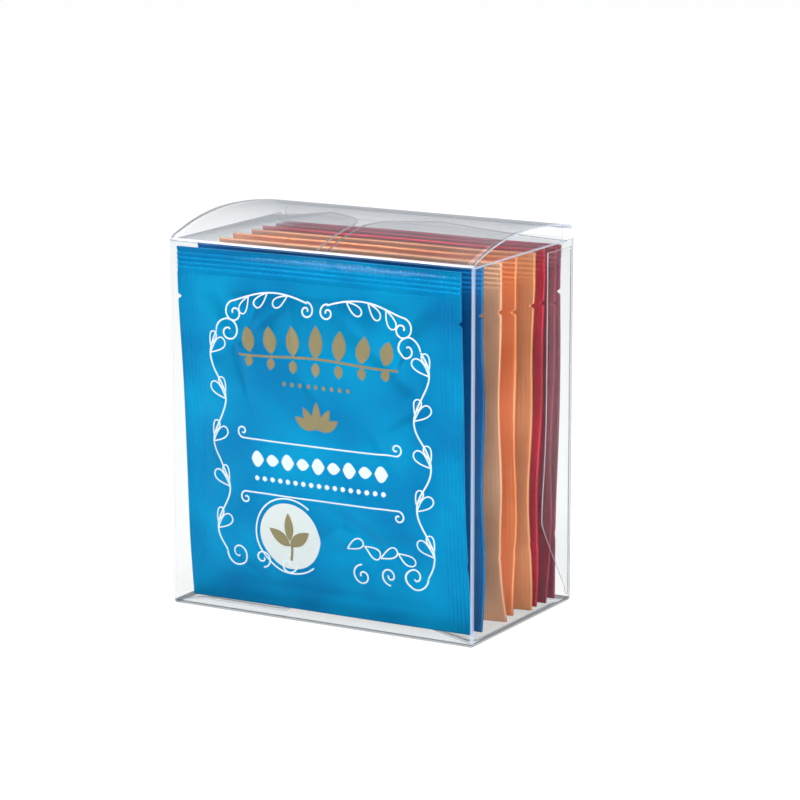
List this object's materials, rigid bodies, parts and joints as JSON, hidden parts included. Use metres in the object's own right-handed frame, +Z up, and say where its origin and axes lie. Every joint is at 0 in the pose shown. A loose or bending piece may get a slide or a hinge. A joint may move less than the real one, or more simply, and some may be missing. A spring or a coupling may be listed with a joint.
{
  "type": "tea box",
  "caption": "Clear folding box with a hinged, arched tuck lid, filled with upright foil tea sachets in blue, orange and red.",
  "frame": {"origin": "bottom centre of the box, on the surface it stands on", "axes": "+Z up, the front panel faces -Y, +X to the right seen from the front"},
  "size_m": [0.076, 0.046, 0.0869],
  "materials": {
    "clear_sheet": "clear glossy PET sheet",
    "blue_foil": "satin metallic ink on foil laminate",
    "orange_foil": "satin metallic ink on foil laminate",
    "red_foil": "satin metallic ink on foil laminate",
    "white_ink": "printed ink",
    "gold_ink": "printed metallic ink"
  },
  "bodies": {
    "box": {"box_shell": "clear_sheet", "sachet_blue_1": "blue_foil", "sachet_blue_2": "blue_foil", "sachet_orange_1": "orange_foil", "sachet_orange_2": "orange_foil", "sachet_orange_3": "orange_foil", "sachet_red_1": "red_foil", "sachet_red_2": "red_foil", "sachet_red_3": "red_foil"},
    "lid": {"lid": "clear_sheet"}
  },
  "joints": [
    {"name": "lid_hinge", "type": "hinge", "parent": "box", "child": "lid", "pos_m": [0, -0.023, 0.0821], "axis": [1, 0, 0], "range_deg": [0, 115]}
  ]
}
